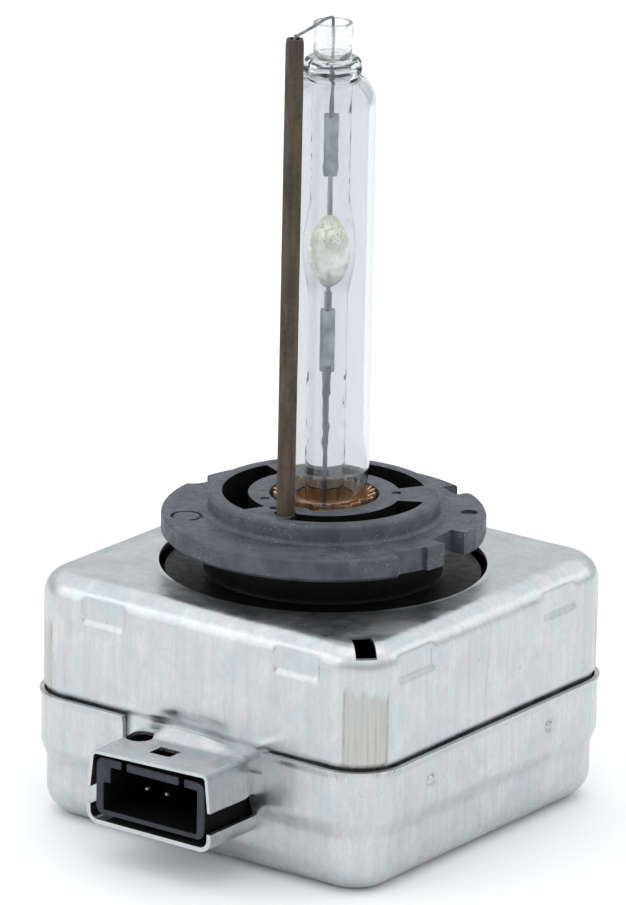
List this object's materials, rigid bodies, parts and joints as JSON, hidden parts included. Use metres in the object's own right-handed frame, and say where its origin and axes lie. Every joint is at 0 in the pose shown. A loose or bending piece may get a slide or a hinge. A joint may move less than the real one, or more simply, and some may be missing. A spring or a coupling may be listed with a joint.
{
  "type": "gas-discharge headlight bulb",
  "caption": "Gas-discharge headlight bulb: quartz burner and return wire in a keyed plastic ring, on a square aluminium housing that holds the igniter and its plug socket.",
  "frame": {"origin": "centre of the flat underside of the housing, on the lamp's axis", "axes": "+Z along the lamp's axis from the housing to the tip; -Y out of the connector; +X to the right when the connector faces the viewer"},
  "size_m": [0.043, 0.0497, 0.0812],
  "materials": {
    "aluminium": "drawn sheet, satin with fine scratches",
    "black_plastic": "moulded, semi-gloss",
    "ring_plastic": "glass-filled moulding, matte with pale specks",
    "socket_plastic": "moulded, satin",
    "copper": "bright pleated strip",
    "quartz": "clear fused quartz",
    "lead_metal": "drawn wire",
    "foil": "thin rolled foil",
    "salt": "crystalline salt",
    "ceramic": "unglazed, brown",
    "carrier_plastic": "moulded",
    "brass": "stamped strip",
    "ferrite": "pressed ferrite",
    "winding": "enamelled copper wire",
    "white_ceramic": "fired ceramic",
    "capacitor_case": "dipped resin",
    "resistor_body": "lacquered ceramic"
  },
  "bodies": {
    "root": {"upper_housing_shell": "aluminium", "lower_housing_shell": "aluminium", "connector_housing": "socket_plastic", "contact_pin_left": "lead_metal", "contact_pin_right": "lead_metal", "base_moulding": "black_plastic", "base_ring": "ring_plastic", "burner_clamp_ring": "copper", "outer_bulb": "quartz", "burner_tube": "quartz", "upper_electrode": "lead_metal", "lower_electrode": "lead_metal", "upper_foil": "foil", "lower_foil": "foil", "halide_salt": "salt", "return_lead_wire": "lead_metal", "lower_lead_wire": "lead_metal", "ceramic_sleeve": "ceramic", "igniter_carrier": "carrier_plastic", "conductor_plate": "brass", "transformer_core": "ferrite", "winding_bobbin": "carrier_plastic", "secondary_winding_1": "winding", "secondary_winding_2": "winding", "secondary_winding_3": "winding", "primary_winding": "copper", "spark_gap_body": "white_ceramic", "spark_gap_cap_front": "lead_metal", "spark_gap_cap_rear": "lead_metal", "ignition_capacitor": "capacitor_case", "bleeder_resistor": "resistor_body", "choke_core": "ferrite", "choke_winding": "winding", "high_voltage_insulator": "white_ceramic", "high_voltage_terminal": "brass", "return_terminal": "brass"}
  },
  "joints": []
}
